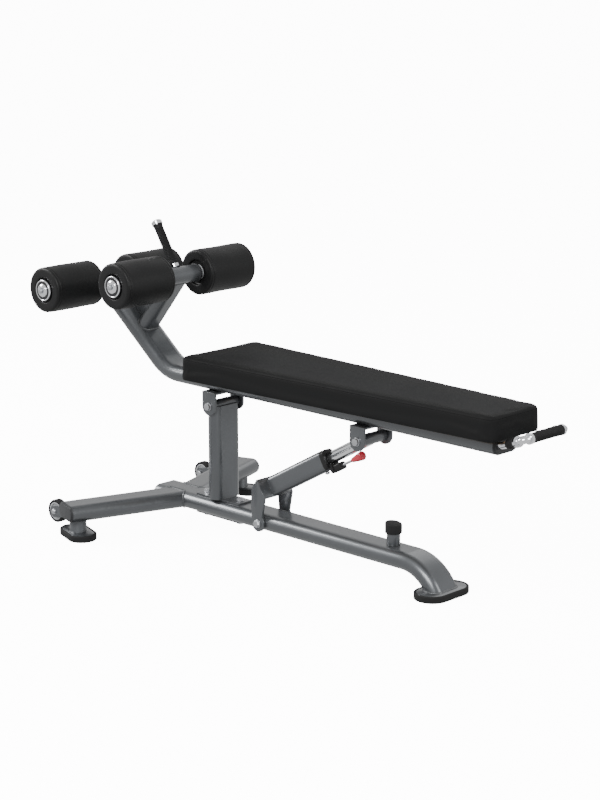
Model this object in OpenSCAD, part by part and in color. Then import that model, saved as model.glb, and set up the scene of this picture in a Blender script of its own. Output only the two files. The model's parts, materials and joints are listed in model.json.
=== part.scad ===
// Decline sit-up bench. The origin is on the floor under the middle of the
// bench: +X runs to the head end, +Y to the left of a person lying on it,
// +Z up. Lengths in millimetres, angles in degrees.

/* [Frame tube] */
// Width of the flat-oval tube
tube_w = 104; // [92:1:125]
// Height of the flat-oval tube
tube_h = 50; // [44:1:56]
// Wall of the flat-oval tube
tube_wall = 2.5; // [2:0.1:3.4]

/* [Base] */
// Height of the spine's centre line above the floor
spine_z = 80; // [76:1:96]
// X of the rear foot's centre
rear_foot_x = 533; // [480:5:636]
// X of the two front feet
front_foot_x = -594; // [-680:1:-560]
// Distance from the middle plane to a front foot
front_foot_y = 336; // [290:1:400]
// Forward sweep of the front arms
arm_sweep = 18.9; // [10:0.1:26]
// Distance that each arm runs past its foot
arm_past_foot = 34; // [28:1:60]
// Radius of the spine's bend down to the rear foot
rear_bend_r = 134; // [120:1:160]
// Height of the rubber feet
foot_h = 20; // [16:1:24]

/* [Post] */
// X of the post and of the bench pivot
post_x = -318; // [-360:1:-290]
// Height of the bench pivot above the floor
pivot_z = 395; // [350:1:474]
// Spacing of the two bolts that hold the post
post_bolt_gap = 138; // [130:1:166]

/* [Bench] */
// Height of the main tube's centre line above the bench pivot
tube_drop = 69; // [62:1:80]
// X of the main tube's rear end
tube_end_x = 741; // [700:1:820]
// X where the main tube starts to bend up
front_bend_x = -476.8; // [-500:0.1:-450]
// Centre-line radius of the front bend
front_bend_r = 140; // [120:1:170]
// Angle that the front bend turns through
front_bend = 39.25; // [34:0.25:44]
// Reach of the front crossbar beyond the bend, along the riser
riser_l = 328.4; // [290:0.1:360]
// X distance from the front to the rear crossbar
crossbar_gap = 315; // [290:1:350]
// Height of the rear crossbar above the front one
crossbar_rise = 51; // [30:1:70]

/* [Rollers] */
// Diameter of a foam roller
roller_d = 137; // [115:1:160]
// Length of a foam roller
roller_l = 186; // [150:1:224]
// Distance from the middle plane to a roller's inner end
roller_in = 72; // [60:1:90]
// Diameter of the roller spindle
spindle_d = 25; // [20:1:30]

/* [Pad] */
// X of the pad's foot end
pad_front_x = -345; // [-360:1:-300]
// Length of the pad
pad_l = 1130; // [1000:5:1140]
// Width of the pad at the foot end
pad_w_foot = 322; // [268:1:386]
// Width of the pad at the head end
pad_w_head = 218; // [182:1:262]
// Thickness of the pad with its board
pad_t = 73; // [60:1:88]

/* [Strut] */
// X of the strut's lower pivot, in the spine
strut_foot_x = -116; // [-130:1:-100]
// X of the strut's upper pivot, under the main tube
strut_top_x = 271; // [245:1:295]
// Slope of the strut when the bench is level
strut_slope = 29.3; // [27:0.1:31]
// Depth of the strut's outer tube
strut_d = 60; // [56:1:64]
// Width of the strut's outer tube
strut_w = 46; // [42:1:50]
// Depth of the sliding tube
slide_d = 36; // [32:1:38]
// Width of the sliding tube
slide_w = 28; // [25:1:30]
// Spacing of the adjustment holes
hole_pitch = 34.7; // [30:0.1:38]

/* [Handles] */
// Length of the upright foot-end handle's grip
top_grip_l = 132; // [110:1:160]
// Diameter of the hand grips
grip_d = 28; // [26:1:33]
// Distance from the main tube's end to the head-end grip
rear_grip_out = 132; // [105:1:150]
// Height of the head-end grip above the main tube's centre line
rear_grip_up = 50; // [40:1:60]
// Width of the head-end handle between its corners
rear_grip_w = 184; // [160:1:220]

/* [Wheels] */
// Diameter of a transport wheel
wheel_d = 70; // [58:1:76]
// Width of a transport wheel
wheel_w = 24; // [20:1:28]
// Height of the wheel axle above the floor
wheel_z = 47; // [44:1:54]
// Distance of the wheel axle in front of the foot
wheel_fwd = 130; // [122:1:150]

/* [Hidden] */

$fn = 64;

// fits and clearances
run_clear = 0.05;     // radial, pin in bush
part_clear = 0.5;     // between pieces that move past each other
eye_clear = 7.4;      // radial, strut eye round its bolt
hairline = 0.02;      // between the straight and bent lengths of one tube

// shared plate and bolt sizes
plate_t = 7;
bolt_d = 12;
bolt_head_af = 19;
bolt_head_h = 7.5;
washer_d = 24;
washer_t = 2;
nut_h = 10;
cheek_in = tube_w / 2 + 0.8;
cheek_out = cheek_in + plate_t;
cheek_w = 54;

// the two bench heights
tube_z = pivot_z + tube_drop;
tube_top = tube_z + tube_h / 2;
spine_top = spine_z + tube_h / 2;
spine_bottom = spine_z - tube_h / 2;

// base
rear_plate_t = 5;
front_plate_t = 5;
foot_rim = 7;
rear_foot_l = 180;
rear_foot_w = 100;
front_foot_l = 150;
front_foot_w = 85;
stub_d = 50;
arm_root_x = front_foot_x + (front_foot_y - tube_w / 2) * tan(arm_sweep);
spine_front_x = arm_root_x - tube_w / 2 - 22;
arm_l = (front_foot_y - tube_w / 2) / cos(arm_sweep) + arm_past_foot;
rear_bend_x = rear_foot_x - rear_bend_r * sin(60);
cap_lip = 3;
cap_dome = 7;
cap_step = 4;
plug_l = 12;

// post
base_plate_l = post_bolt_gap + 44;
base_plate_w = 60;
base_plate_t = 5;
pivot_sleeve_d = 34;
bush_t = 3;
bumper_x = rear_foot_x - 176;
bumper_d = 38;
bumper_cap_d = 48;
bumper_cap_h = 32;
bumper_top = 172;

// wheels
wheel_x = front_foot_x - wheel_fwd;
wheel_y = front_foot_y - 33;
axle_d = 10;
tyre_t = 8;
ear_t = 5;
ear_w = 34;

// foot-end crossbars
front_bar = [front_bend_x - front_bend_r * sin(front_bend) - riser_l * cos(front_bend),
    tube_z + front_bend_r * (1 - cos(front_bend)) + riser_l * sin(front_bend)];
rear_bar = [front_bar[0] + crossbar_gap, front_bar[1] + crossbar_rise];
crossbar_d = tube_h + 2;
crossbar_wall = 3;
crossbar_half = roller_in - 8;
core_d = 46;
roller_mid = roller_in + roller_l / 2;
roller_out = roller_in + roller_l;
roller_round = 9;
recess_d = 76;
recess_t = 9;
cap_d = 66;
branch_w = 70;
branch_h = 46;
branch_wall = 2.5;
branch_root = 118;    // distance up the riser where the branch leaves it

// handles
top_handle_lean = 32;
top_bar_d = 20;
rear_bar_d = 20;
elbow = 1.04;

// pad
board_t = 15;
pad_bracket_t = 4;
pad_bottom = tube_top + 1;
pad_corner = 27;
pad_bracket_xs = [-230, 120, 560];

// strut, along its own axis from the upper pivot
strut_vec = [strut_top_x - strut_foot_x, pivot_z - spine_z];
strut_along = strut_vec[0] * cos(strut_slope) + strut_vec[1] * sin(strut_slope);
strut_off = strut_vec[0] * sin(strut_slope) - strut_vec[1] * cos(strut_slope);
strut_web = -429;
strut_end = -194;
guide_out = 15;
strut_wall = 3;
slide_wall = 2.5;
slide_tail = -275;
eye_d = 33;
eye_bore = bolt_d + 2 * eye_clear;
hole_d = 11;
holes = 5;
lock_x = strut_end - 14;
release_z = -33;
knob_l = 48;
knob_d = 27;
knob_x = -98;
rod_d = 8;
pin_d = 10;

// ---- shapes shared by several pieces ----

// outline of a flat-oval bar, w across and h high
module oval(w, h) {
    r = min(w, h) / 2;
    long = max(w, h) - 2 * r;
    if (w > h) {
        square([long, h], center = true);
        for (s = [-1, 1]) translate([s * long / 2, 0]) circle(r);
    } else {
        square([w, long], center = true);
        for (s = [-1, 1]) translate([0, s * long / 2]) circle(r);
    }
}

// outline of a flat-oval tube
module oval_ring(w, h, wall) {
    difference() {
        oval(w, h);
        oval(w - 2 * wall, h - 2 * wall);
    }
}

// rounded rectangle made of true arcs
module round_rect(w, h, r) {
    square([w - 2 * r, h], center = true);
    square([w, h - 2 * r], center = true);
    for (x = [-1, 1], y = [-1, 1])
        translate([x * (w / 2 - r), y * (h / 2 - r)]) circle(r);
}

// extrudes an outline along +X, its x across (Y) and its y up (Z)
module along_x(x0, x1) {
    translate([x0, 0, 0]) rotate([90, 0, 90]) linear_extrude(x1 - x0) children();
}

// bends an outline round a Y axis at the origin, from angle a0 through turn
module bend_xz(r, a0, turn) {
    rotate([90, 0, 0]) rotate([0, 0, a0])
        rotate_extrude(angle = turn, $fn = 128) translate([r, 0]) rotate(90) children();
}

// round bar along Y
module bar_y(y0, y1, d) {
    translate([0, y0, 0]) rotate([-90, 0, 0]) cylinder(h = y1 - y0, d = d);
}

// round tube along Y
module tube_y(y0, y1, d_out, d_in) {
    difference() {
        bar_y(y0, y1, d_out);
        bar_y(y0 - 1, y1 + 1, d_in);
    }
}

// hexagon bolt with washers and nut along Y, clamping from y0 to y1
module through_bolt(y0, y1, d) {
    head_y = y0 - washer_t - bolt_head_h;
    bar_y(head_y + bolt_head_h, y1 + washer_t + nut_h + 2, d);
    translate([0, head_y, 0]) rotate([-90, 0, 0])
        cylinder(h = bolt_head_h, d = bolt_head_af / cos(30), $fn = 6);
    bar_y(y0 - washer_t, y0, washer_d);
    bar_y(y1, y1 + washer_t, washer_d);
    translate([0, y1 + washer_t, 0]) rotate([-90, 0, 0])
        cylinder(h = nut_h, d = bolt_head_af / cos(30), $fn = 6);
}

// copies the children at +Y and mirrored at -Y
module both_sides() {
    children();
    mirror([0, 1, 0]) children();
}

module at_pivot() translate([post_x, 0, pivot_z]) children();
module at_strut_top() translate([strut_top_x, 0, pivot_z]) children();
module at_strut_foot() translate([strut_foot_x, 0, spine_z]) children();
module on_strut() at_strut_top() rotate([0, -strut_slope, 0]) children();
module at_front_bar() translate([front_bar[0], 0, front_bar[1]]) children();
module at_rear_bar() translate([rear_bar[0], 0, rear_bar[1]]) children();

// ---- base ----

// runs an outline along the spine: straight, then bent down to the rear foot
module spine_run() {
    translate([0, 0, spine_z]) along_x(spine_front_x, rear_bend_x - hairline) children();
    translate([rear_bend_x, 0, spine_z - rear_bend_r]) bend_xz(rear_bend_r, 25, 65) children();
}

module spine() {
    color("slategray") difference() {
        spine_run() oval_ring(tube_w, tube_h, tube_wall);
        translate([0, 0, foot_h - 201]) cube([3000, 400, 400], center = true);
        at_strut_foot() bar_y(-tube_w, tube_w, bolt_d + 2 * bush_t);
        for (s = [-1, 1]) translate([post_x + s * post_bolt_gap / 2, 0, spine_z])
            cylinder(h = 2 * tube_h, d = bolt_d, center = true);
    }
}

// places the children on the arm at the -Y side, +X running outward along it
module on_arm() {
    translate([arm_root_x, -tube_w / 2, spine_z]) rotate([0, 0, 270 - arm_sweep]) children();
}

module arm(wall) {
    difference() {
        on_arm() along_x(-60, arm_l) oval_ring(tube_w, tube_h, wall);
        spine_run() oval(tube_w, tube_h);
        translate([0, 250, spine_z]) cube([3000, 500, 500], center = true);
    }
}

module front_arm_right() color("slategray") arm(tube_wall);
module front_arm_left() color("slategray") mirror([0, 1, 0]) arm(tube_wall);

// moulded plug with a domed face for a flat-oval tube that ends at the origin
module tube_plug() {
    bore_w = tube_w - 2 * tube_wall;
    bore_h = tube_h - 2 * tube_wall;
    along_x(-plug_l, 0) oval(bore_w, bore_h);
    along_x(0, cap_lip) oval(tube_w, tube_h);
    along_x(cap_lip, cap_dome) oval(tube_w - 2 * cap_step, tube_h - 2 * cap_step);
}

module base_end_caps() {
    color("dimgray") {
        both_sides() on_arm() translate([arm_l, 0, 0]) tube_plug();
        translate([spine_front_x, 0, spine_z]) mirror([1, 0, 0]) tube_plug();
    }
}

// places the children under a front arm at its foot, square to the arm
module at_front_foot() {
    translate([front_foot_x, -front_foot_y, 0]) rotate([0, 0, -arm_sweep]) children();
}

module front_foot_posts() {
    color("slategray") both_sides() at_front_foot() {
        difference() {
            translate([0, 0, foot_h - 1]) cylinder(h = spine_z - foot_h, d = stub_d);
            translate([0, 0, foot_h + 4]) cylinder(h = spine_z, d = stub_d - 6);
            rotate([0, 0, 90]) translate([0, 0, spine_z]) along_x(-80, 80) oval(tube_w, tube_h);
        }
        translate([0, 0, foot_h - 1 - front_plate_t]) linear_extrude(front_plate_t)
            oval(front_foot_l - 2 * foot_rim, front_foot_w - 2 * foot_rim);
    }
}

// rubber shoe with a pocket for its plate
module shoe(l, w, plate) {
    difference() {
        linear_extrude(foot_h) oval(l, w);
        translate([0, 0, foot_h - 1 - plate]) linear_extrude(foot_h)
            oval(l - 2 * foot_rim, w - 2 * foot_rim);
    }
}

module front_foot_pads() {
    color([0.1, 0.1, 0.11]) both_sides() at_front_foot()
        shoe(front_foot_l, front_foot_w, front_plate_t);
}

module rear_foot_plate() {
    color("slategray") translate([rear_foot_x, 0, foot_h - 1 - rear_plate_t])
        linear_extrude(rear_plate_t) oval(rear_foot_w - 2 * foot_rim, rear_foot_l - 2 * foot_rim);
}

module rear_foot_pad() {
    color([0.1, 0.1, 0.11]) translate([rear_foot_x, 0, 0]) rotate([0, 0, 90])
        shoe(rear_foot_l, rear_foot_w, rear_plate_t);
}

module post() {
    top = pivot_z - spine_top - base_plate_t;
    color("slategray") {
        difference() {
            translate([post_x, 0, spine_top + base_plate_t]) linear_extrude(top)
                oval_ring(tube_h, tube_w, tube_wall);
            at_pivot() bar_y(-tube_w, tube_w, pivot_sleeve_d);
        }
        at_pivot() tube_y(-tube_w / 2, tube_w / 2, pivot_sleeve_d, bolt_d + 2 * bush_t);
        difference() {
            translate([post_x, 0, spine_top]) linear_extrude(base_plate_t)
                round_rect(base_plate_l, base_plate_w, 6);
            for (s = [-1, 1]) translate([post_x + s * post_bolt_gap / 2, 0, spine_z])
                cylinder(h = 2 * tube_h, d = bolt_d);
        }
    }
}

module post_clamp_plate() {
    color("slategray") difference() {
        translate([post_x, 0, spine_bottom - base_plate_t]) linear_extrude(base_plate_t)
            round_rect(base_plate_l, base_plate_w, 6);
        for (s = [-1, 1]) translate([post_x + s * post_bolt_gap / 2, 0, 0])
            cylinder(h = spine_z, d = bolt_d);
    }
}

module post_bolts() {
    top = spine_top + base_plate_t;
    bottom = spine_bottom - base_plate_t;
    color("silver") for (s = [-1, 1]) translate([post_x + s * post_bolt_gap / 2, 0, 0]) {
        translate([0, 0, bottom - nut_h - 1]) cylinder(h = top - bottom + nut_h + 2, d = bolt_d - 0.1);
        translate([0, 0, top]) cylinder(h = washer_t, d = washer_d);
        translate([0, 0, top + washer_t])
            cylinder(h = bolt_head_h, d = bolt_head_af / cos(30), $fn = 6);
        translate([0, 0, bottom - nut_h])
            cylinder(h = nut_h, d = bolt_head_af / cos(30), $fn = 6);
    }
}

module post_bushes() {
    color("goldenrod") at_pivot()
        tube_y(-tube_w / 2, tube_w / 2, bolt_d + 2 * bush_t, bolt_d + 2 * run_clear);
}

module bumper_post() {
    color("slategray") translate([bumper_x, 0, spine_top])
        cylinder(h = bumper_top - 14 - spine_top, d = bumper_d);
}

module bumper_cap() {
    color([0.1, 0.1, 0.11]) difference() {
        translate([bumper_x, 0, bumper_top - bumper_cap_h])
            cylinder(h = bumper_cap_h, d = bumper_cap_d);
        bumper_post();
        translate([bumper_x - bumper_cap_d / 2, -100, bumper_top]) rotate([0, 8, 0])
            cube([200, 200, 60]);
    }
}

module strut_foot_bush() {
    color("goldenrod") at_strut_foot()
        tube_y(-tube_w / 2, tube_w / 2, bolt_d + 2 * bush_t, bolt_d);
}

module strut_foot_bolt() {
    color("silver") at_strut_foot() through_bolt(-cheek_out - 0.3, cheek_out + 0.3, bolt_d);
}

module wheel_brackets() {
    color("slategray") difference() {
        both_sides() for (s = [-1, 1]) {
            y = -wheel_y + s * (wheel_w / 2 + 1) + (s < 0 ? -ear_t : 0);
            translate([wheel_x, y, wheel_z]) rotate([-90, 0, 0]) difference() {
                union() {
                    cylinder(h = ear_t, d = ear_w);
                    linear_extrude(ear_t) polygon([[0, ear_w / 2], [0, -ear_w / 2],
                        [wheel_fwd - 30, -ear_w / 2 - 20], [wheel_fwd - 30, 0]]);
                }
                translate([0, 0, -1]) cylinder(h = ear_t + 2, d = axle_d);
            }
        }
        both_sides() on_arm() along_x(0, arm_l) oval(tube_w, tube_h);
    }
}

module wheel_bolts() {
    color("silver") both_sides() translate([wheel_x, -wheel_y, wheel_z]) {
        reach = wheel_w / 2 + 1 + ear_t;
        bar_y(-reach, reach, axle_d);
        translate([0, -reach, 0]) rotate([90, 0, 0]) cylinder(h = 5, d1 = 18, d2 = 12);
        translate([0, reach, 0]) rotate([-90, 0, 0]) cylinder(h = 7, d = 18, $fn = 6);
    }
}

module wheel_tyre(side) {
    color([0.1, 0.1, 0.11]) translate([wheel_x, side * wheel_y, wheel_z]) rotate([90, 0, 0])
        rotate_extrude() translate([wheel_d / 2 - tyre_t / 2, 0]) round_rect(tyre_t, wheel_w, 3);
}

module wheel_hub(side) {
    hub_d = wheel_d - 2 * tyre_t;
    color("lightgray") translate([wheel_x, side * wheel_y, wheel_z]) difference() {
        bar_y(-wheel_w / 2 + 1, wheel_w / 2 - 1, hub_d);
        for (s = [-1, 1]) translate([0, s * wheel_w / 2, 0])
            tube_y(-5, 5, hub_d - 8, 22);
        bar_y(-wheel_w, wheel_w, axle_d + 2 * run_clear);
    }
}

module wheel_tyre_right() wheel_tyre(-1);
module wheel_hub_right() wheel_hub(-1);
module wheel_tyre_left() wheel_tyre(1);
module wheel_hub_left() wheel_hub(1);

// ---- bench frame ----

// runs an outline along the main tube: level, bent up, then up the riser
module main_run() {
    translate([0, 0, tube_z]) along_x(front_bend_x + hairline, tube_end_x) children();
    translate([front_bend_x, 0, tube_z + front_bend_r])
        bend_xz(front_bend_r, -90 - front_bend, front_bend) children();
    on_riser() along_x(hairline, riser_l) children();
}

// places the children on the riser, +X running up to the front crossbar
module on_riser() {
    at_front_bar() rotate([0, front_bend - 180, 0]) translate([-riser_l, 0, 0]) children();
}

module main_tube() {
    color("slategray") difference() {
        main_run() oval_ring(tube_w, tube_h, tube_wall);
        at_front_bar() bar_y(-tube_w, tube_w, crossbar_d);
    }
}

module main_tube_end_cap() {
    color("dimgray") difference() {
        translate([tube_end_x, 0, tube_z]) tube_plug();
        rear_handle_path(rear_bar_d);
    }
}

// places the children where the branch leaves the riser, +X up to the rear crossbar
branch_from = [front_bar[0] + (riser_l - branch_root) * cos(front_bend),
    front_bar[1] - (riser_l - branch_root) * sin(front_bend)];
branch_vec = rear_bar - branch_from;
branch_l = norm(branch_vec);
branch_angle = atan2(branch_vec[1], branch_vec[0]);

module on_branch() {
    translate([branch_from[0], 0, branch_from[1]]) rotate([0, -branch_angle, 0]) children();
}

module crossbar_branch() {
    color("slategray") difference() {
        on_branch() along_x(0, branch_l) oval_ring(branch_w, branch_h, branch_wall);
        main_run() oval(tube_w, tube_h);
        at_rear_bar() bar_y(-tube_w, tube_w, crossbar_d);
    }
}

module branch_gusset() {
    color("slategray") difference() {
        translate([0, 4, 0]) rotate([90, 0, 0]) linear_extrude(8) polygon([
            branch_from,
            branch_from + 0.62 * branch_vec,
            branch_from + 0.62 * (front_bar - branch_from)]);
        main_run() oval(tube_w, tube_h);
        on_branch() along_x(-20, branch_l) oval(branch_w, branch_h);
    }
}

module crossbar() {
    difference() {
        union() {
            tube_y(-crossbar_half, crossbar_half, crossbar_d, crossbar_d - 2 * crossbar_wall);
            both_sides() tube_y(crossbar_half - 5, crossbar_half, crossbar_d - 1, spindle_d);
        }
        bar_y(-tube_w, tube_w, spindle_d);
    }
}

module front_crossbar() color("slategray") at_front_bar() crossbar();

module rear_crossbar() {
    color("slategray") difference() {
        at_rear_bar() crossbar();
        on_top_handle() cylinder(h = 80, d = top_bar_d);
    }
}

module spindle() bar_y(-roller_out - 4, roller_out + 4, spindle_d);
module front_spindle() color("silver") at_front_bar() spindle();
module rear_spindle() color("silver") at_rear_bar() spindle();

module each_bar() {
    at_front_bar() both_sides() children();
    at_rear_bar() both_sides() children();
}

// domed cap in the recess of each roller, held by a bolt in the spindle's end
module roller_end_caps() {
    cap_y = roller_out - recess_t + 3;
    sphere_r = 62;
    color("silver") each_bar() difference() {
        intersection() {
            bar_y(cap_y, roller_out + 14, cap_d);
            translate([0, roller_out + 13 - sphere_r, 0]) rotate([-90, 0, 0]) sphere(sphere_r, $fn = 96);
        }
        bar_y(0, roller_out + 4, spindle_d);
        bar_y(0, roller_out + 30, 10);
    }
}

module roller_cap_bolts() {
    color("silver") each_bar() {
        bar_y(roller_out + 4, roller_out + 13, 10);
        translate([0, roller_out + 13, 0]) rotate([-90, 0, 0]) cylinder(h = 5, d1 = 18, d2 = 13);
    }
}

module roller_collars() {
    color([0.15, 0.15, 0.16]) each_bar()
        tube_y(crossbar_half, roller_in - 1, crossbar_d + 4, spindle_d);
}

module foam_roller() {
    mid_r = (roller_d + core_d) / 4;
    translate([0, roller_mid, 0]) rotate([-90, 0, 0]) difference() {
        rotate_extrude($fn = 96) translate([mid_r, 0])
            round_rect((roller_d - core_d) / 2, roller_l, roller_round);
        for (s = [-1, 1]) translate([0, 0, s * roller_l / 2])
            cylinder(h = 2 * recess_t, d = recess_d, center = true);
        cylinder(h = roller_l + 2, d = core_d, center = true);
    }
}

module roller_core() {
    core_l = roller_l - 2 * recess_t;
    translate([0, roller_mid, 0])
        tube_y(-core_l / 2, core_l / 2, core_d, spindle_d + 2 * run_clear);
}

foam_grey = [0.13, 0.13, 0.14];
module foam_roller_front_left() color(foam_grey) at_front_bar() foam_roller();
module foam_roller_front_right() color(foam_grey) at_front_bar() mirror([0, 1, 0]) foam_roller();
module foam_roller_rear_left() color(foam_grey) at_rear_bar() foam_roller();
module foam_roller_rear_right() color(foam_grey) at_rear_bar() mirror([0, 1, 0]) foam_roller();
module roller_core_front_left() color("gray") at_front_bar() roller_core();
module roller_core_front_right() color("gray") at_front_bar() mirror([0, 1, 0]) roller_core();
module roller_core_rear_left() color("gray") at_rear_bar() roller_core();
module roller_core_rear_right() color("gray") at_rear_bar() mirror([0, 1, 0]) roller_core();

// ---- handles ----

module on_top_handle() at_rear_bar() rotate([0, -top_handle_lean, 0]) children();

module top_handle_bar() {
    color("slategray") difference() {
        on_top_handle() cylinder(h = crossbar_d / 2 + 14 + top_grip_l, d = top_bar_d);
        at_rear_bar() bar_y(-tube_w, tube_w, spindle_d);
    }
}

module top_handle_grip() {
    color([0.08, 0.08, 0.08]) on_top_handle() translate([0, 0, crossbar_d / 2 + 10]) difference() {
        cylinder(h = top_grip_l, d = grip_d);
        translate([0, 0, -1]) cylinder(h = top_grip_l + 2, d = top_bar_d);
    }
}

module top_handle_trim() {
    top = crossbar_d / 2 + 10 + top_grip_l;
    color("silver") on_top_handle() {
        difference() {
            translate([0, 0, crossbar_d / 2]) cylinder(h = 9.5, d = grip_d + 4);
            cylinder(h = 80, d = top_bar_d);
            rotate([0, top_handle_lean, 0]) bar_y(-tube_w, tube_w, crossbar_d);
        }
        difference() {
            union() {
                translate([0, 0, top]) cylinder(h = 10, d = grip_d + 5);
                translate([0, 0, top + 10]) cylinder(h = 4, d1 = grip_d + 5, d2 = grip_d - 6);
            }
            cylinder(h = top + 4, d = top_bar_d);
        }
    }
}

// corners of the head-end handle's centre line, from its root to the middle
rear_root = [tube_end_x - 60, 24, tube_z];
rear_out = [tube_end_x + 16, 36, tube_z + 4];
rear_corner = [tube_end_x + rear_grip_out, rear_grip_w / 2, tube_z + rear_grip_up];

// straight round bar between two points
module bar_between(a, b, d) {
    v = b - a;
    translate(a) rotate([0, acos(v[2] / norm(v)), atan2(v[1], v[0])]) cylinder(h = norm(v), d = d);
}

// one side of the handle, with a slightly fuller ball at each turn
module rear_leg(d) {
    bar_between(rear_root, rear_out, d);
    translate(rear_out) sphere(d = elbow * d);
    bar_between(rear_out, rear_corner, d);
    translate(rear_corner) sphere(d = elbow * d);
}

module rear_handle_path(d) {
    both_sides() rear_leg(d);
    translate([rear_corner[0], 0, rear_corner[2]]) bar_y(-rear_corner[1], rear_corner[1], d);
}

module rear_handle_bar() color("slategray") rear_handle_path(rear_bar_d);

rear_leg_dir = rear_corner - rear_out;

module rear_handle_grips() {
    color([0.08, 0.08, 0.08]) difference() {
        union() {
            translate([rear_corner[0], 0, rear_corner[2]])
                bar_y(-rear_grip_w / 2 + 30, rear_grip_w / 2 - 30, grip_d);
            both_sides() bar_between(rear_corner - 0.62 * rear_leg_dir,
                rear_corner - 0.28 * rear_leg_dir, grip_d);
        }
        rear_handle_path(rear_bar_d);
    }
}

module rear_handle_collars() {
    color("silver") difference() {
        both_sides() {
            translate([rear_corner[0], 0, rear_corner[2]])
                bar_y(rear_grip_w / 2 - 29.5, rear_grip_w / 2 - 21, grip_d + 2);
            bar_between(rear_corner - 0.27 * rear_leg_dir,
                rear_corner - 0.20 * rear_leg_dir, grip_d + 2);
        }
        rear_handle_path(rear_bar_d);
    }
}

// ---- pad ----

module pad_outline(inset) {
    r = pad_corner - inset;
    hull() for (end = [[0, pad_w_foot], [1, pad_w_head]], s = [-1, 1])
        translate([pad_front_x + pad_corner + end[0] * (pad_l - 2 * pad_corner),
            s * (end[1] / 2 - pad_corner)]) circle(r, $fn = 32);
}

module pad_cushion() {
    color([0.16, 0.16, 0.16]) difference() {
        translate([0, 0, pad_bottom]) linear_extrude(pad_t) pad_outline(0);
        translate([0, 0, pad_bottom - 1]) linear_extrude(board_t + 1.4) pad_outline(7.6);
    }
}

module pad_board() {
    color("burlywood") difference() {
        translate([0, 0, pad_bottom]) linear_extrude(board_t) pad_outline(8);
        for (x = pad_bracket_xs) {
            translate([x, 0, tube_top + pad_bracket_t / 2])
                cube([40.8, 160.8, pad_bracket_t + 0.8], center = true);
            for (s = [-1, 1]) translate([x, s * 62, pad_bottom]) cylinder(h = 11, d = 6);
        }
    }
}

module pad_brackets() {
    color("slategray") difference() {
        for (x = pad_bracket_xs) translate([x, 0, tube_top]) linear_extrude(pad_bracket_t)
            round_rect(40, 160, 8);
        for (x = pad_bracket_xs, s = [-1, 1])
            translate([x, s * 62, tube_top - 1]) cylinder(h = 9, d = 6.4);
    }
}

module pad_screws() {
    color("silver") for (x = pad_bracket_xs, s = [-1, 1]) translate([x, s * 62, tube_top]) {
        translate([0, 0, -3]) cylinder(h = 14, d = 6);
        translate([0, 0, -4]) cylinder(h = 4, d = 13);
    }
}

// ---- pivots and strut ----

// U bracket hanging below the main tube
module hanger() {
    web_z = tube_drop - tube_h / 2;
    difference() {
        union() {
            translate([-cheek_w / 2, -cheek_out, web_z - plate_t])
                cube([cheek_w, 2 * cheek_out, plate_t]);
            both_sides() {
                bar_y(cheek_in, cheek_out, cheek_w);
                translate([-cheek_w / 2, cheek_in, 0]) cube([cheek_w, plate_t, web_z - 1]);
            }
        }
        bar_y(-tube_w, tube_w, bolt_d);
    }
}

module pivot_brackets() {
    color("slategray") {
        at_pivot() hanger();
        at_strut_top() hanger();
    }
}

module pivot_bolts() {
    color("silver") {
        at_pivot() through_bolt(-cheek_out, cheek_out, bolt_d);
        at_strut_top() through_bolt(-cheek_out, cheek_out, bolt_d);
    }
}

// side outline of the strut's yoke, in the strut's own axes from the upper pivot
yoke_foot = [-strut_along, strut_off];

module yoke_side() {
    translate([0, -cheek_out, 0]) rotate([90, 0, 0]) mirror([0, 0, 1]) linear_extrude(plate_t)
        union() {
            translate(yoke_foot) circle(24);
            polygon([
                yoke_foot + [-6, -23],
                yoke_foot + [-23, 4],
                [strut_web - 60, -24],
                [strut_web - 34, 16],
                [strut_web - 3, 31],
                [strut_web, -30],
                yoke_foot + [23, 8]]);
        }
}

module strut_outer() {
    color("slategray") {
        difference() {
            on_strut() union() {
                yoke_side();
                mirror([0, 1, 0]) yoke_side();
                translate([strut_web - plate_t, -cheek_out, -30]) cube([plate_t, 2 * cheek_out, 61]);
            }
            at_strut_foot() bar_y(-tube_w, tube_w, bolt_d + 2 * run_clear);
        }
        on_strut() difference() {
            along_x(strut_web, strut_end) round_rect(strut_w, strut_d, 16);
            along_x(strut_web - 1, strut_end + 1)
                round_rect(strut_w - 2 * strut_wall, strut_d - 2 * strut_wall, 13);
            translate([lock_x, 0, -strut_d]) cylinder(h = strut_d, d = pin_d + 1);
        }
    }
}

// plastic guide that fills the outer tube's mouth round the sliding tube
module strut_guide() {
    color([0.12, 0.12, 0.12]) on_strut() difference() {
        union() {
            along_x(strut_end, strut_end + guide_out) round_rect(strut_w, strut_d - 2, 15);
            along_x(strut_end - 80, strut_end)
                round_rect(strut_w - 2 * strut_wall, strut_d - 2 * strut_wall, 13);
        }
        along_x(strut_end - 100, strut_end + 60) oval(slide_w + 1, slide_d + 1);
        translate([lock_x, 0, -strut_d]) cylinder(h = strut_d, d = pin_d + 1);
        release_space();
    }
}

// space of the pull rod and its travel
module release_space() {
    translate([0, 0, release_z]) along_x(strut_end - 30, strut_end + 80) circle(d = 18);
}

module release_housing() {
    color([0.2, 0.2, 0.2]) on_strut() difference() {
        union() {
            translate([0, 0, release_z]) along_x(strut_end + guide_out, strut_end + 54)
                round_rect(26, 22, 7);
            translate([0, 0, release_z + 5]) along_x(strut_end + guide_out, strut_end + 27)
                round_rect(32, 30, 7);
        }
        translate([0, 0, release_z]) along_x(strut_end, strut_end + 44) circle(d = 18);
        translate([0, 0, release_z]) along_x(strut_end, strut_end + 80) circle(d = rod_d + 1);
        along_x(strut_end, strut_end + 80) oval(slide_w + 2, slide_d + 2);
    }
}

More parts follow.
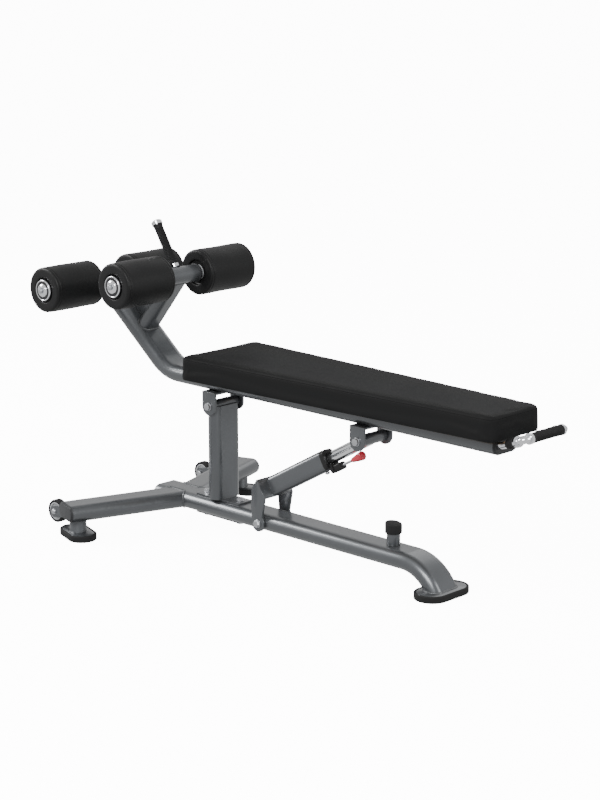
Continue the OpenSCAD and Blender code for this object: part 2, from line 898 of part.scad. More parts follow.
// locking pin, drawn back clear of the sliding tube
module lock_pin() {
    color("silver") on_strut() translate([lock_x, 0, 0]) mirror([0, 0, 1]) {
        translate([0, 0, slide_d / 2 + part_clear])
            cylinder(h = strut_d / 2 - slide_d / 2 + 8, d = pin_d);
        translate([0, 0, strut_d / 2 + 2]) cylinder(h = 4, d = pin_d + 5);
    }
}

module strut_slide() {
    color("silver") {
        on_strut() difference() {
            along_x(slide_tail, -4) oval_ring(slide_w, slide_d, slide_wall);
            bar_y(-tube_w, tube_w, eye_d);
            for (i = [0:holes - 1]) translate([lock_x + i * hole_pitch, 0, -slide_d])
                cylinder(h = slide_d, d = hole_d);
        }
        at_strut_top() tube_y(-cheek_in + part_clear, cheek_in - part_clear, eye_d, eye_bore);
    }
}

module release_knob() {
    color([0.75, 0.12, 0.16]) on_strut() translate([0, 0, release_z]) {
        along_x(strut_end + 17, knob_x + 1) circle(d = rod_d);
        along_x(strut_end + 20, strut_end + 24) circle(d = 16);
        translate([knob_x, 0, 0]) rotate([0, 90, 0]) {
            cylinder(h = knob_l - 6, d1 = 13, d2 = knob_d);
            translate([0, 0, knob_l - 6]) cylinder(h = 6, d1 = knob_d, d2 = knob_d - 7);
        }
    }
}

// round wire wound into an open coil along +X
module coil(l, r, wire, turns) {
    steps = 12 * turns;
    sides = 8;
    lead = atan2(l, 2 * PI * r * turns);
    points = [for (i = [0:steps], j = [0:sides - 1])
        let (a = 360 * turns * i / steps, b = 360 * j / sides,
            out = r + wire / 2 * cos(b), side = wire / 2 * sin(b))
        [l * i / steps + side * cos(lead),
            out * cos(a) + side * sin(lead) * sin(a),
            out * sin(a) - side * sin(lead) * cos(a)]];
    ring = [for (j = [0:sides - 1]) [j, (j + 1) % sides]];
    walls = [for (i = [0:steps - 1], e = ring, half = [0, 1])
        let (p = i * sides, q = p + sides)
        half == 0 ? [p + e[0], p + e[1], q + e[1]] : [p + e[0], q + e[1], q + e[0]]];
    start = [for (j = [0:sides - 1]) sides - 1 - j];
    finish = [for (j = [0:sides - 1]) steps * sides + j];
    polyhedron(points, concat(walls, [start, finish]));
}

// coil spring that pushes the pull rod home
module release_spring() {
    color("gray") on_strut() translate([strut_end + 26, 0, release_z]) coil(16, 6.2, 1.6, 4);
}

spine();
front_arm_right();
front_arm_left();
base_end_caps();
front_foot_posts();
front_foot_pads();
rear_foot_plate();
rear_foot_pad();
post();
post_clamp_plate();
post_bolts();
post_bushes();
bumper_post();
bumper_cap();
strut_foot_bush();
strut_foot_bolt();
wheel_brackets();
wheel_bolts();
wheel_tyre_right();
wheel_hub_right();
wheel_tyre_left();
wheel_hub_left();
main_tube();
main_tube_end_cap();
crossbar_branch();
branch_gusset();
front_crossbar();
rear_crossbar();
front_spindle();
rear_spindle();
roller_end_caps();
roller_cap_bolts();
roller_collars();
foam_roller_front_right();
foam_roller_front_left();
foam_roller_rear_right();
foam_roller_rear_left();
roller_core_front_right();
roller_core_front_left();
roller_core_rear_right();
roller_core_rear_left();
top_handle_bar();
top_handle_grip();
top_handle_trim();
rear_handle_bar();
rear_handle_grips();
rear_handle_collars();
pad_cushion();
pad_board();
pad_brackets();
pad_screws();
pivot_brackets();
pivot_bolts();
strut_outer();
strut_guide();
release_housing();
lock_pin();
strut_slide();
release_knob();
release_spring();
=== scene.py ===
"""Decline sit-up bench: the looks built over its CAD frame.

Metres, in the frame's own axes: +X to the head end, +Y to the left, +Z up.
"""

import json
import math

import bmesh
import bpy
from mathutils import Matrix, Vector
from mathutils.bvhtree import BVHTree

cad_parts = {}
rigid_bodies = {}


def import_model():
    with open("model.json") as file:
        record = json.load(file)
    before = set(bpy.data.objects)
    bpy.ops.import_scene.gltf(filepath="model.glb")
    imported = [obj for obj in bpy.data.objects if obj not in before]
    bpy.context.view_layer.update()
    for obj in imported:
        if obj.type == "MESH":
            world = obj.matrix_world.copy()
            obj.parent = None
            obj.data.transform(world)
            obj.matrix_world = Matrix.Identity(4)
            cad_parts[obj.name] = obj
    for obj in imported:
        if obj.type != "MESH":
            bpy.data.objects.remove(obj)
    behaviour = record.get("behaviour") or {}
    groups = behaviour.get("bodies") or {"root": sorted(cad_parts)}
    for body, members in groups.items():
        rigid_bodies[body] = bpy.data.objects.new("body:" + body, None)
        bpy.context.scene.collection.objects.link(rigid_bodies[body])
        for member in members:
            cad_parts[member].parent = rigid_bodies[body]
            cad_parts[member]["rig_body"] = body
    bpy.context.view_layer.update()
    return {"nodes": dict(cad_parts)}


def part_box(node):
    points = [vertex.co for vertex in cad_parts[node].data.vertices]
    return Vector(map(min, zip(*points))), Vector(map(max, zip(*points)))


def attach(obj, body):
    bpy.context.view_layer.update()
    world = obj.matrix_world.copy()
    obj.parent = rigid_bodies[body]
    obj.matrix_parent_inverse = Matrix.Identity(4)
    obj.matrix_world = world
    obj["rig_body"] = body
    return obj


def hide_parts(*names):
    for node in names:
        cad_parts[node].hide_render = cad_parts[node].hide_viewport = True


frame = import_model()
nodes = frame["nodes"]

# ---- Camera, light and floor ----
# A long lens from the head end's right, a little above the pad. Four soft
# boxes and a pale sky light the bench on a plain white floor.

camera_data = bpy.data.cameras.new("camera")
camera_data.lens = 96.526
camera_data.sensor_width = 36.0
camera = bpy.data.objects.new("camera", camera_data)
camera.location = (4.12049, -4.26885, 1.88706)
camera.rotation_euler = (math.radians(76.459), 0.0, math.radians(44.0066))
bpy.context.scene.collection.objects.link(camera)
bpy.context.scene.camera = camera


def soft_box(name, place, target, width, height, watts):
    """A rectangular lamp at place that faces target."""
    lamp = bpy.data.lights.new(name, "AREA")
    lamp.shape = "RECTANGLE"
    lamp.size = width
    lamp.size_y = height
    lamp.energy = watts
    box = bpy.data.objects.new(name, lamp)
    box.location = place
    box.rotation_euler = (Vector(target) - Vector(place)).to_track_quat("-Z", "Y").to_euler()
    bpy.context.scene.collection.objects.link(box)


soft_box("key_light", (1.6, -3.4, 3.0), (0.0, 0.0, 0.4), 2.4, 1.6, 190)
soft_box("head_light", (4.0, 1.2, 2.2), (0.2, 0.0, 0.4), 1.6, 2.2, 70)
soft_box("foot_light", (-3.4, -1.6, 2.4), (-0.3, 0.0, 0.4), 1.4, 1.6, 150)
soft_box("back_light", (-1.0, 3.6, 2.6), (0.0, 0.0, 0.4), 2.4, 1.6, 14)

sky = bpy.data.worlds.new("sky")
sky.use_nodes = True
sky.node_tree.nodes["Background"].inputs["Color"].default_value = (1.0, 1.0, 1.0, 1.0)
sky.node_tree.nodes["Background"].inputs["Strength"].default_value = 0.8
bpy.context.scene.world = sky


class Value:
    """A socket in a finish's nodes. Arithmetic on it adds Math nodes."""

    def __init__(self, finish, socket):
        self.finish = finish
        self.socket = socket

    def maths(self, operation, *values):
        return self.finish.node("ShaderNodeMath", {"operation": operation}, values)

    def __add__(self, other):
        return self.maths("ADD", self, other)

    def __radd__(self, other):
        return self.maths("ADD", other, self)

    def __sub__(self, other):
        return self.maths("SUBTRACT", self, other)

    def __mul__(self, other):
        return self.maths("MULTIPLY", self, other)

    def __rmul__(self, other):
        return self.maths("MULTIPLY", other, self)

    def ramp(self, low, high):
        """0 where the value is low or less, 1 where it is high or more."""
        limits = [self, low, high, 0.0, 1.0]
        return self.finish.node("ShaderNodeMapRange", {"clamp": True}, limits)


class Finish:
    """A material: its Principled shader, whose sockets are set by name, and what feeds it."""

    def __init__(self, name, **constants):
        self.material = bpy.data.materials.new(name)
        self.material.use_nodes = True
        self.nodes = self.material.node_tree.nodes
        self.shader = self.nodes["Principled BSDF"]
        for socket, value in constants.items():
            self.set(socket.replace("_", " "), value)
        self.place = self.node("ShaderNodeTexCoord", output="Object")

    def set(self, socket, value):
        self.feed(self.shader.inputs[socket], value)

    def feed(self, socket, value):
        if isinstance(value, Value):
            self.material.node_tree.links.new(value.socket, socket)
        elif isinstance(value, (tuple, list)) and len(value) == 3 and socket.type == "RGBA":
            socket.default_value = (*value, 1.0)
        else:
            socket.default_value = value

    def node(self, kind, settings=None, inputs=(), output=0):
        """Adds a node, sets it up, feeds its sockets and gives the wanted output."""
        node = self.nodes.new(kind)
        for setting, value in (settings or {}).items():
            setattr(node, setting, value)
        pairs = inputs.items() if isinstance(inputs, dict) else enumerate(inputs)
        for socket, value in pairs:
            self.feed(node.inputs[socket], value)
        return Value(self, node.outputs[output])

    def mix(self, factor, first, second):
        """A colour between first and second."""
        return self.node("ShaderNodeMix", {"data_type": "RGBA"}, {0: factor, 6: first, 7: second}, 2)

    def noise(self, scale, detail=2.0, place=None):
        """Soft cloudy spots."""
        inputs = {"Vector": place or self.place, "Scale": scale, "Detail": detail}
        return self.node("ShaderNodeTexNoise", {}, inputs)

    def cells(self, scale):
        """Small pebbled cells."""
        return self.node("ShaderNodeTexVoronoi", {}, {"Vector": self.place, "Scale": scale})

    def bump(self, height, distance, strength=1.0):
        inputs = {"Height": height, "Distance": distance, "Strength": strength}
        self.set("Normal", self.node("ShaderNodeBump", {}, inputs))

    def cover(self, *names):
        """Puts the finish on CAD nodes."""
        for name in names:
            mesh = nodes[name].data
            mesh.materials.clear()
            mesh.materials.append(self.material)


floor_finish = Finish("pale_floor", Base_Color=(0.9, 0.9, 0.9), Roughness=0.9, Specular_IOR_Level=0.0,
                      Emission_Color=(1.0, 1.0, 1.0), Emission_Strength=12.0)
floor_mesh = bmesh.new()
bmesh.ops.create_grid(floor_mesh, x_segments=1, y_segments=1, size=30.0)
floor_data = bpy.data.meshes.new("floor")
floor_mesh.to_mesh(floor_data)
floor_data.materials.append(floor_finish.material)
floor = bpy.data.objects.new("floor", floor_data)
bpy.context.scene.collection.objects.link(floor)
floor.visible_diffuse = False
floor.visible_glossy = False

# ---- Frame tubes and plates ----
# Welded flat-oval steel tube and laser-cut plate, under one grey powder coat
# with metal flake in it. The coat has a faint orange peel and pools a little
# darker in places. Plate edges are eased by the coat.

paint = Finish("frame_paint", Metallic=0.7, Coat_Weight=0.5, Coat_Roughness=0.12)
flake = paint.noise(1600.0, 1.0)
cloud = paint.noise(9.0, 4.0)
paint.set("Base Color", paint.mix(flake * 0.6 + cloud * 0.4, (0.058, 0.062, 0.067), (0.135, 0.142, 0.151)))
paint.set("Roughness", 0.28 + 0.12 * cloud + 0.05 * flake)
paint.bump(paint.noise(240.0, 2.0) + 0.3 * flake, 0.0002, 0.35)
paint.cover("spine", "front_arm_right", "front_arm_left", "main_tube", "crossbar_branch",
            "front_crossbar", "rear_crossbar", "top_handle_bar")


def finished(name, mesh, body, finish, slot, *stands_for):
    """Makes a piece of a bmesh. It rides on body and stands for the CAD nodes named."""
    data = bpy.data.meshes.new(name)
    mesh.to_mesh(data)
    mesh.free()
    data.materials.append(finish.material)
    data.shade_smooth()
    data.set_sharp_from_angle(angle=math.radians(38))
    piece = bpy.data.objects.new(name, data)
    bpy.context.scene.collection.objects.link(piece)
    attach(piece, body)
    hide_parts(*stands_for)
    return piece


def eased(node, width, finish, slot, segments=2):
    """A CAD node's shape with its sharp edges rounded off by width."""
    mesh = bmesh.new()
    mesh.from_mesh(nodes[node].data)
    bmesh.ops.remove_doubles(mesh, verts=mesh.verts, dist=1e-5)
    bmesh.ops.dissolve_limit(mesh, angle_limit=math.radians(0.5), verts=mesh.verts, edges=mesh.edges)
    sharp = [e for e in mesh.edges if e.is_manifold and e.calc_face_angle() > math.radians(40)]
    bmesh.ops.bevel(mesh, geom=sharp, offset=width, offset_type="OFFSET", affect="EDGES",
                    segments=segments, profile=0.5, clamp_overlap=True, material=-1)
    return finished(node + "_eased", mesh, nodes[node]["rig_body"], finish, slot, node)


for plate in ("front_foot_posts", "rear_foot_plate", "post", "post_clamp_plate", "bumper_post",
              "wheel_brackets", "branch_gusset", "pad_brackets", "pivot_brackets", "strut_outer"):
    eased(plate, 0.0008, paint, "frame_paint")

# ---- Welds ----
# Hand-run fillets under the paint, where tubes and plates meet. Each is a
# rippled bead along the joint.


def rounded(corners, radius, steps=5):
    """A line through corners, with each inner corner made a short curve."""
    points = [corners[0]]
    for before, corner, after in zip(corners, corners[1:], corners[2:]):
        back = before - corner
        onward = after - corner
        start = corner + back.normalized() * min(radius, back.length * 0.49)
        end = corner + onward.normalized() * min(radius, onward.length * 0.49)
        for i in range(steps + 1):
            t = i / steps
            points.append(start.lerp(corner, t).lerp(corner.lerp(end, t), t))
    return points + [corners[-1]]


def swept(points, radius, closed, sides):
    """A bmesh of a round bar that follows points."""
    curve = bpy.data.curves.new("swept", "CURVE")
    curve.dimensions = "3D"
    curve.bevel_depth = radius
    curve.bevel_resolution = sides
    curve.use_fill_caps = not closed
    spline = curve.splines.new("POLY")
    spline.points.add(len(points) - 1)
    for place, point in zip(spline.points, points):
        place.co = (*point, 1.0)
    spline.use_cyclic_u = closed
    bar = bpy.data.objects.new("swept", curve)
    mesh = bmesh.new()
    mesh.from_mesh(bpy.data.meshes.new_from_object(bar))
    bpy.data.objects.remove(bar)
    bmesh.ops.remove_doubles(mesh, verts=mesh.verts, dist=1e-6)
    bmesh.ops.recalc_face_normals(mesh, faces=mesh.faces)
    return mesh


def seam_line(node, other, reach=0.0006):
    """The sharp edges of a CAD node that lie on another, as runs of points."""
    mesh = bmesh.new()
    mesh.from_mesh(nodes[node].data)
    bmesh.ops.remove_doubles(mesh, verts=mesh.verts, dist=1e-5)
    against = bmesh.new()
    against.from_mesh(nodes[other].data)
    surface = BVHTree.FromBMesh(against)
    left = [
        e for e in mesh.edges
        if e.is_manifold and e.calc_face_angle() > math.radians(40)
        and all((surface.find_nearest(v.co)[3] or 0.0) < reach for v in e.verts)
    ]
    runs = []
    while left:
        edge = left.pop(0)
        run = [edge.verts[0], edge.verts[1]]
        onward = [e for e in run[-1].link_edges if e in left]
        while onward:
            left.remove(onward[0])
            run.append(onward[0].other_vert(run[-1]))
            onward = [e for e in run[-1].link_edges if e in left]
        runs.append([v.co.copy() for v in run])
    mesh.free()
    against.free()
    return [run for run in runs if len(run) > 5]


def joined(parts):
    """One bmesh of several."""
    whole = bmesh.new()
    for part in parts:
        data = bpy.data.meshes.new("part")
        part.to_mesh(data)
        part.free()
        whole.from_mesh(data)
        bpy.data.meshes.remove(data)
    return whole


def weld(name, node, other):
    """A bead where a CAD node meets another."""
    bead_radius = 0.0032
    end_gap = 0.004
    runs = seam_line(node, other)
    if runs:
        beads = [swept(run, bead_radius, (run[0] - run[-1]).length < end_gap, 2) for run in runs]
        finished(name, joined(beads), nodes[node]["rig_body"], weld_paint, "frame_paint")


weld_paint = Finish("weld_paint", Metallic=0.55, Base_Color=(0.085, 0.089, 0.094), Coat_Weight=0.3)
weld_paint.set("Roughness", 0.36 + 0.1 * weld_paint.noise(120.0))
weld_paint.bump(weld_paint.noise(330.0, 1.0), 0.0012, 0.8)
weld("arm_weld_right", "front_arm_right", "spine")
weld("arm_weld_left", "front_arm_left", "spine")
weld("foot_weld_right", "front_foot_posts", "front_arm_right")
weld("foot_weld_left", "front_foot_posts", "front_arm_left")
weld("rear_foot_weld", "spine", "rear_foot_plate")
weld("riser_weld", "main_tube", "front_crossbar")
weld("branch_root_weld", "crossbar_branch", "main_tube")
weld("branch_top_weld", "crossbar_branch", "rear_crossbar")

# ---- Fasteners ----
# Zinc-plated hexagon bolts, washers and nuts, faintly brushed and dulled, and
# the bronze bushes that the two pivots turn in.

zinc = Finish("bright_steel", Metallic=1.0, Base_Color=(0.50, 0.51, 0.53))
zinc.set("Roughness", 0.24 + 0.2 * zinc.noise(260.0, 3.0))
zinc.bump(zinc.noise(900.0, 1.0), 0.0001, 0.3)
for fastener in ("post_bolts", "strut_foot_bolt", "wheel_bolts", "pad_screws", "pivot_bolts", "lock_pin"):
    eased(fastener, 0.0007, zinc, "bright_steel")

bronze = Finish("bush_bronze", Metallic=1.0, Base_Color=(0.45, 0.29, 0.12))
bronze.set("Roughness", 0.3 + 0.2 * bronze.noise(300.0, 3.0))
bronze.cover("post_bushes", "strut_foot_bush")

spring_steel = Finish("spring_steel", Metallic=1.0, Base_Color=(0.33, 0.33, 0.35))
spring_steel.set("Roughness", 0.3 + 0.15 * spring_steel.noise(500.0))
spring_steel.cover("release_spring")

# ---- Rubber feet, bumper and plugs ----
# Moulded black rubber with a fine matte skin, and the plastic plugs that
# close the tube ends.

rubber = Finish("rubber", Base_Color=(0.009, 0.009, 0.0095), Specular_IOR_Level=0.25)
rubber.set("Roughness", 0.62 + 0.2 * rubber.noise(60.0, 4.0))
rubber.bump(rubber.noise(700.0, 2.0), 0.0004, 0.4)
for moulding in ("front_foot_pads", "rear_foot_pad", "bumper_cap"):
    eased(moulding, 0.003, rubber, "rubber", 3)

plug_plastic = Finish("plug_plastic", Base_Color=(0.022, 0.023, 0.025), Specular_IOR_Level=0.35)
plug_plastic.set("Roughness", 0.42 + 0.15 * plug_plastic.noise(40.0, 3.0))
plug_plastic.bump(plug_plastic.noise(900.0, 1.0), 0.0002, 0.3)
for plug in ("base_end_caps", "main_tube_end_cap"):
    eased(plug, 0.0016, plug_plastic, "plug_plastic", 3)
eased("roller_collars", 0.0012, plug_plastic, "plug_plastic", 3)

# ---- Transport wheels ----
# A grooved rubber tyre on a pale grey nylon hub. The tyre is a turned shape.


def turned(corners, radius, centre, axis, steps=64):
    """A bmesh turned round an axis. corners hold the distance along it and from it."""
    mesh = bmesh.new()
    axis = Vector(axis).normalized()
    outward = axis.orthogonal().normalized()
    outline = rounded([Vector((*c, 0.0)) for c in corners], radius)
    points = [mesh.verts.new(centre + axis * p.x + outward * p.y) for p in outline]
    edges = [mesh.edges.new(pair) for pair in zip(points, points[1:])]
    bmesh.ops.spin(mesh, geom=points + edges, cent=centre, axis=axis, dvec=(0.0, 0.0, 0.0),
                   angle=2 * math.pi, steps=steps, use_merge=True, use_duplicate=False)
    bmesh.ops.remove_doubles(mesh, verts=mesh.verts, dist=1e-6)
    bmesh.ops.recalc_face_normals(mesh, faces=mesh.faces)
    return mesh


def middle(node):
    """The middle of a CAD node's box."""
    low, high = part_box(node)
    return (low + high) / 2


nylon = Finish("wheel_plastic", Base_Color=(0.36, 0.37, 0.38), Roughness=0.4)
nylon.bump(nylon.noise(500.0), 0.0002, 0.3)
for side in ("right", "left"):
    centre = middle("wheel_tyre_" + side)
    low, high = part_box("wheel_tyre_" + side)
    half = (high.y - low.y) / 2
    rim = (high.z - low.z) / 2
    tyre = [(-half + 0.001, rim - 0.008), (-half, rim - 0.002), (-half + 0.003, rim)]
    for groove in (-0.005, 0.0, 0.005):
        tyre += [(groove - 0.0009, rim), (groove - 0.0006, rim - 0.0014),
                 (groove + 0.0006, rim - 0.0014), (groove + 0.0009, rim)]
    tyre += [(half - 0.003, rim), (half, rim - 0.002), (half - 0.001, rim - 0.008), tyre[0]]
    finished("tyre_" + side, turned(tyre, 0.0012, centre, (0, 1, 0)), "wheel_" + side,
             rubber, "rubber", "wheel_tyre_" + side)
    eased("wheel_hub_" + side, 0.0009, nylon, "wheel_plastic", 3)
nylon.cover("roller_core_front_right", "roller_core_front_left",
            "roller_core_rear_right", "roller_core_rear_left")

# ---- Foam rollers ----
# Dense foam under a tight black skin, glued over a nylon core. The ends are
# full, with a groove where the skin is gathered round the recess.

skin = Finish("foam", Base_Color=(0.006, 0.006, 0.0063), Specular_IOR_Level=0.2)
skin.set("Roughness", 0.36 + 0.16 * skin.noise(26.0, 4.0))
skin.bump(skin.cells(900.0) * 0.6 + skin.noise(90.0, 3.0), 0.0004, 0.45)

for bar in ("front", "rear"):
    for side, sign in (("right", -1), ("left", 1)):
        foam = f"foam_roller_{bar}_{side}"
        low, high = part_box(foam)
        centre = (low + high) / 2
        half = (high.y - low.y) / 2
        full = (high.z - low.z) / 2
        crown = [(i / 6 * (half - 0.022), full) for i in range(-6, 7)]
        end = [(half - 0.0135, full), (half - 0.012, full - 0.0016), (half - 0.0105, full),
               (half - 0.003, full - 0.0008), (half, full - 0.0065), (half, 0.041),
               (half - 0.0015, 0.038), (half - 0.009, 0.0372), (half - 0.009, 0.0235)]
        start = [(-along, radius) for along, radius in reversed(end)]
        outline = start + crown + end + [start[0]]
        mesh = turned(outline, 0.005, centre, (0, 1, 0), 96)
        for v in mesh.verts:
            out = Vector((v.co.x - centre.x, v.co.z - centre.z))
            around = math.atan2(out.y, out.x)
            edge = max(0.0, 1.0 - abs(abs(v.co.y - centre.y) - half + 0.007) / 0.012)
            lift = 0.00035 * edge * math.cos(31 * around + 2 * math.sin(3 * around))
            lift += 0.0004 * math.sin(2 * around + 40 * v.co.y + sign)
            if out.length > 0.05:
                out *= (out.length + lift) / out.length
                v.co.x = centre.x + out.x
                v.co.z = centre.z + out.y
        roller = finished(f"roller_{bar}_{side}", mesh, f"roller_{bar}_{side}", skin, "foam", foam)

# ---- Roller end caps ----
# Dished chrome caps in the rollers' recesses, with a black enamelled ring,
# held on the spindle by a button-head screw.

chrome = Finish("chrome", Metallic=1.0, Base_Color=(0.83, 0.84, 0.86))
chrome.set("Roughness", 0.05 + 0.08 * chrome.noise(70.0, 4.0))
chrome.cover("front_spindle", "rear_spindle", "top_handle_trim", "rear_handle_collars")
enamel = Finish("cap_enamel", Base_Color=(0.008, 0.008, 0.009), Roughness=0.22)

caps = []
rings = []
for bar in ("front", "rear"):
    for side, sign in (("right", -1), ("left", 1)):
        low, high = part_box(f"foam_roller_{bar}_{side}")
        centre = (low + high) / 2
        centre.y = high.y if sign > 0 else low.y
        cap = [(-0.006, 0.0), (-0.006, 0.033), (0.0, 0.033), (0.0045, 0.0315), (0.0055, 0.0295),
               (0.004, 0.0275), (0.004, 0.0205), (0.008, 0.0185), (0.0105, 0.013), (0.0105, 0.0)]
        ring = [(0.0, 0.0282), (0.0052, 0.0282), (0.0052, 0.0202), (0.0, 0.0202), (0.0, 0.0282)]
        caps.append(turned(cap, 0.0012, centre, (0, sign, 0), 48))
        rings.append(turned(ring, 0.0012, centre, (0, sign, 0), 48))
finished("end_caps", joined(caps), "bench", chrome, "chrome", "roller_end_caps")
finished("end_cap_rings", joined(rings), "bench", enamel, "plug_plastic")
eased("roller_cap_bolts", 0.0009, zinc, "bright_steel", 3)

# ---- Hand grips ----
# Ribbed rubber sleeves pushed over the bars. The head-end bar is bent from
# one piece of chromed rod.

grip_rubber = Finish("grip_rubber", Base_Color=(0.006, 0.006, 0.0063), Specular_IOR_Level=0.2)
grip_rubber.set("Roughness", 0.5 + 0.2 * grip_rubber.noise(90.0, 3.0))
grip_rubber.bump(grip_rubber.cells(1300.0), 0.0003, 0.5)


bar_radius = 0.01


def sleeve(start, end):
    """A bmesh of a ribbed rubber sleeve from start to end."""
    bore = bar_radius + 0.0001
    outer = bar_radius + 0.004
    plain_end = 0.012
    rib_pitch = 0.0045
    length = (end - start).length
    ribbed = length - 2 * plain_end
    ribs = int(ribbed / rib_pitch)
    outline = [(0.0, bore), (0.0, outer), (0.007, outer)]
    for i in range(ribs):
        at = plain_end + i * ribbed / ribs
        outline += [(at, outer - 0.0003), (at + 0.0008, outer - 0.0013),
                    (at + 0.0016, outer - 0.0013), (at + 0.0024, outer - 0.0003)]
    outline += [(length - 0.007, outer), (length, outer), (length, bore), (0.0, bore)]
    return turned(outline, 0.0016, start, end - start, 40)


lean = math.radians(32)
up = Vector((-math.sin(lean), 0.0, math.cos(lean)))
rear_bar = middle("rear_spindle")
crossbar_low, crossbar_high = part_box("front_crossbar")
above = (crossbar_high.z - crossbar_low.z) / 2 + 0.010
upright_length = 0.132
upright = sleeve(rear_bar + up * above, rear_bar + up * (above + upright_length))
finished("upright_grip", upright, "bench", grip_rubber, "grip_rubber", "top_handle_grip")

tube_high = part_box("main_tube")[1]
tube_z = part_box("main_tube_end_cap")[0].z + 0.025
root = Vector((tube_high.x - 0.06, 0.024, tube_z))
out = Vector((tube_high.x + 0.016, 0.036, tube_z + 0.004))
corner = Vector((tube_high.x + 0.132, 0.092, tube_z + 0.050))
side_line = [root, out, corner]
path = side_line + [Vector((p.x, -p.y, p.z)) for p in reversed(side_line)]
handle = swept(rounded(path, 0.024, 8), bar_radius, False, 8)
finished("rear_handle", handle, "bench", chrome, "chrome", "rear_handle_bar")
leg = corner - out
grips = []
for sign in (-1, 1):
    flip = Matrix.Diagonal((1.0, sign, 1.0))
    grips.append(sleeve(flip @ (corner - 0.62 * leg), flip @ (corner - 0.28 * leg)))
cross_half = 0.062
grips.append(sleeve(Vector((corner.x, -cross_half, corner.z)), Vector((corner.x, cross_half, corner.z))))
finished("head_end_grips", joined(grips), "bench", grip_rubber, "grip_rubber", "rear_handle_grips")

# ---- Pad ----
# Firm foam under black grained vinyl, sewn with a seam round the top edge and
# pulled down over the sides of a plywood board. The foam swells a little
# against the vinyl.

vinyl = Finish("pad_vinyl", Base_Color=(0.012, 0.012, 0.0123), Specular_IOR_Level=0.03)
grain = vinyl.cells(700.0)
creases = vinyl.noise(1500.0, 2.0)
worn = vinyl.noise(5.0, 3.0)
vinyl.set("Roughness", 0.40 + 0.14 * worn + 0.08 * grain)
pad_low, pad_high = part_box("pad_cushion")
height = vinyl.node("ShaderNodeSeparateXYZ", {}, [vinyl.place], 2)
seam_z = pad_high.z - 0.0135
off_seam = vinyl.node("ShaderNodeMath", {"operation": "ABSOLUTE"}, [height - seam_z])
groove = off_seam.ramp(0.0, 0.0016)
vinyl.bump(grain * 0.25 + creases * 0.15 + groove * 2.2, 0.0009, 0.6)

foot_half = (pad_high.y - pad_low.y) / 2
head_half = foot_half * 218 / 322     # the pad narrows from 322 to 218 mm
swell_room = 0.003
slab = bmesh.new()
bmesh.ops.create_cube(slab, size=1.0)
for v in slab.verts:
    at_foot = v.co.x < 0
    v.co.x = pad_low.x + swell_room if at_foot else pad_high.x - swell_room
    v.co.y = math.copysign((foot_half if at_foot else head_half) - swell_room, v.co.y)
    v.co.z = pad_low.z + 0.0005 if v.co.z < 0 else pad_high.z - 0.005
uprights = [e for e in slab.edges if abs(e.verts[0].co.z - e.verts[1].co.z) > 0.02]
bmesh.ops.bevel(slab, geom=uprights, offset=0.030, affect="EDGES", segments=8, profile=0.5,
                clamp_overlap=True, material=-1)
rims = [e for e in slab.edges if all(v.co.z > pad_high.z - 0.006 for v in e.verts)
        and e.calc_face_angle() > math.radians(60)]
bmesh.ops.bevel(slab, geom=rims, offset=0.008, affect="EDGES", segments=4, profile=0.5,
                clamp_overlap=True, material=-1)
slab_data = bpy.data.meshes.new("pad_slab")
slab.to_mesh(slab_data)
slab.free()
slab_piece = bpy.data.objects.new("pad_slab", slab_data)
bpy.context.scene.collection.objects.link(slab_piece)


def baked(piece):
    """A new mesh of a piece with its modifiers applied."""
    seen = piece.evaluated_get(bpy.context.evaluated_depsgraph_get())
    return bpy.data.meshes.new_from_object(seen)


remesh = slab_piece.modifiers.new("remesh", "REMESH")
remesh.mode = "VOXEL"
remesh.voxel_size = 0.006
slab_piece.data = baked(slab_piece)
slab_piece.modifiers.clear()
at_rest = [v.co.copy() for v in slab_piece.data.vertices]
swell_limit = 0.0018
last_step = 20
held = slab_piece.vertex_groups.new(name="held")
held.add([i for i, p in enumerate(at_rest) if p.z < pad_low.z + 0.012], 1.0, "REPLACE")
cloth = slab_piece.modifiers.new("cloth", "CLOTH")
cloth.settings.quality = 4
cloth.settings.mass = 0.25
cloth.settings.tension_stiffness = 18
cloth.settings.compression_stiffness = 18
cloth.settings.bending_stiffness = 2.0
cloth.settings.use_pressure = True
cloth.settings.uniform_pressure_force = 2.5
cloth.settings.vertex_group_mass = "held"
cloth.settings.effector_weights.gravity = 0.0
cloth.point_cache.frame_start = 1
cloth.point_cache.frame_end = last_step
for step in range(1, last_step + 1):
    bpy.context.scene.frame_set(step)
swollen = baked(slab_piece)
moved = [v.co.copy() for v in swollen.vertices]
bpy.context.scene.frame_set(1)
slab_piece.modifiers.clear()
for v, before, after in zip(slab_piece.data.vertices, at_rest, moved):
    shift = after - before
    if shift.length > swell_limit:
        shift *= swell_limit / shift.length
    v.co = before + shift
for v in slab_piece.data.vertices:
    v.co.z = min(v.co.z, pad_high.z + 0.004)
    edge_share = min(1.0, abs(v.co.z - seam_z) / 0.006)
    if v.co.z < pad_high.z - 0.004:
        inset = 0.0012 * (1 - edge_share)
        v.co.y -= math.copysign(inset, v.co.y)
smooth = slab_piece.modifiers.new("smooth", "SUBSURF")
smooth.levels = 1
smooth.render_levels = 1
cushion_mesh = bmesh.new()
cushion_mesh.from_mesh(baked(slab_piece))
bpy.data.objects.remove(slab_piece)
cushion = finished("cushion", cushion_mesh, "bench", vinyl, "pad_vinyl", "pad_cushion")
cushion.data.set_sharp_from_angle(angle=math.radians(180))

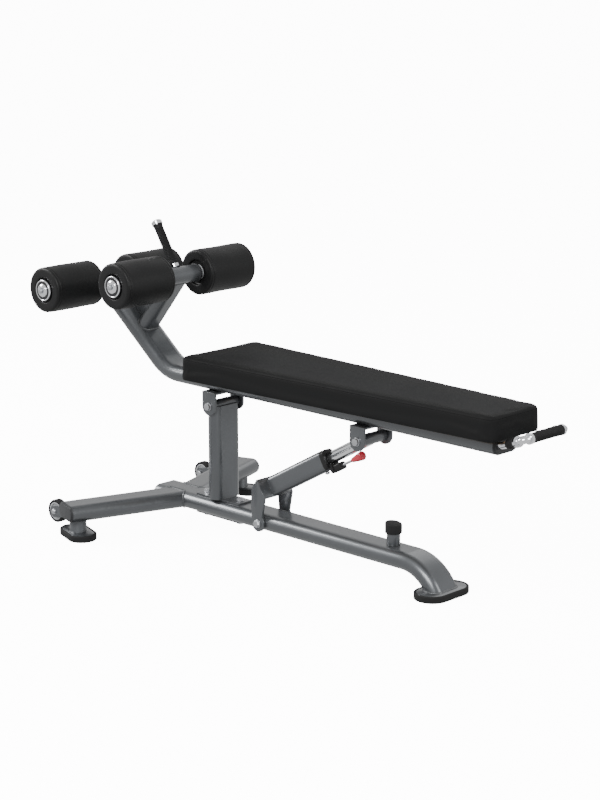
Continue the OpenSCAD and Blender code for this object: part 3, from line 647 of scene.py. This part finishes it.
plywood = Finish("pad_board", Base_Color=(0.4, 0.27, 0.14), Roughness=0.6)
stretch = plywood.node("ShaderNodeMapping", {}, {"Vector": plywood.place, "Scale": (1.5, 22.0, 60.0)})
plies = plywood.noise(6.0, 5.0, stretch)
plywood.set("Base Color", plywood.mix(plies, (0.22, 0.13, 0.06), (0.52, 0.37, 0.21)))
plywood.bump(plies, 0.0004, 0.5)
board = eased("pad_board", 0.001, plywood, "pad_board")
board.data.materials.append(vinyl.material)
for face in board.data.polygons:
    face.material_index = 0 if face.normal.z < -0.9 else 1

# ---- Strut ----
# A chromed flat-oval tube with a painted eye slides in a plastic guide in the
# painted outer tube. A red pull knob on a steel rod draws the lock pin.

strut_top = Vector((0.271, 0.0, 0.395))
eye_radius = 0.0168
slide = eased("strut_slide", 0.0004, chrome, "chrome")
slide.data.materials.append(paint.material)
for face in slide.data.polygons:
    if math.hypot(face.center.x - strut_top.x, face.center.z - strut_top.z) < eye_radius:
        face.material_index = 1
guide_plastic = Finish("guide_plastic", Base_Color=(0.007, 0.007, 0.0073), Specular_IOR_Level=0.3)
guide_plastic.set("Roughness", 0.38 + 0.15 * guide_plastic.noise(50.0, 3.0))
guide_plastic.bump(guide_plastic.noise(900.0, 1.0), 0.0002, 0.3)
for moulding in ("strut_guide", "release_housing"):
    eased(moulding, 0.0015, guide_plastic, "guide_plastic", 3)

slope = math.radians(29.3)
strut = Vector((math.cos(slope), 0.0, math.sin(slope)))
across = Vector((-math.sin(slope), 0.0, math.cos(slope)))
rod_drop = 0.033
on_rod = strut_top - across * rod_drop
knob_red = Finish("knob_red", Base_Color=(0.52, 0.012, 0.03), Roughness=0.24, Coat_Weight=0.4)
knob_red.bump(knob_red.noise(300.0), 0.0002, 0.2)
knob = [(-0.0982, 0.0), (-0.0982, 0.0062), (-0.0955, 0.0070), (-0.082, 0.0094), (-0.064, 0.0127),
        (-0.058, 0.0135), (-0.054, 0.0131), (-0.0505, 0.0098), (-0.0502, 0.0)]
rod = [(-0.177, 0.0), (-0.177, 0.004), (-0.1741, 0.004), (-0.1741, 0.008), (-0.1702, 0.008), (-0.1702, 0.004),
       (-0.098, 0.004), (-0.098, 0.0)]
finished("pull_knob", turned(knob, 0.0016, on_rod, strut, 48), "release_body", knob_red, "knob_red",
         "release_knob")
finished("pull_rod", turned(rod, 0.0004, on_rod, strut, 32), "release_body", zinc, "bright_steel")
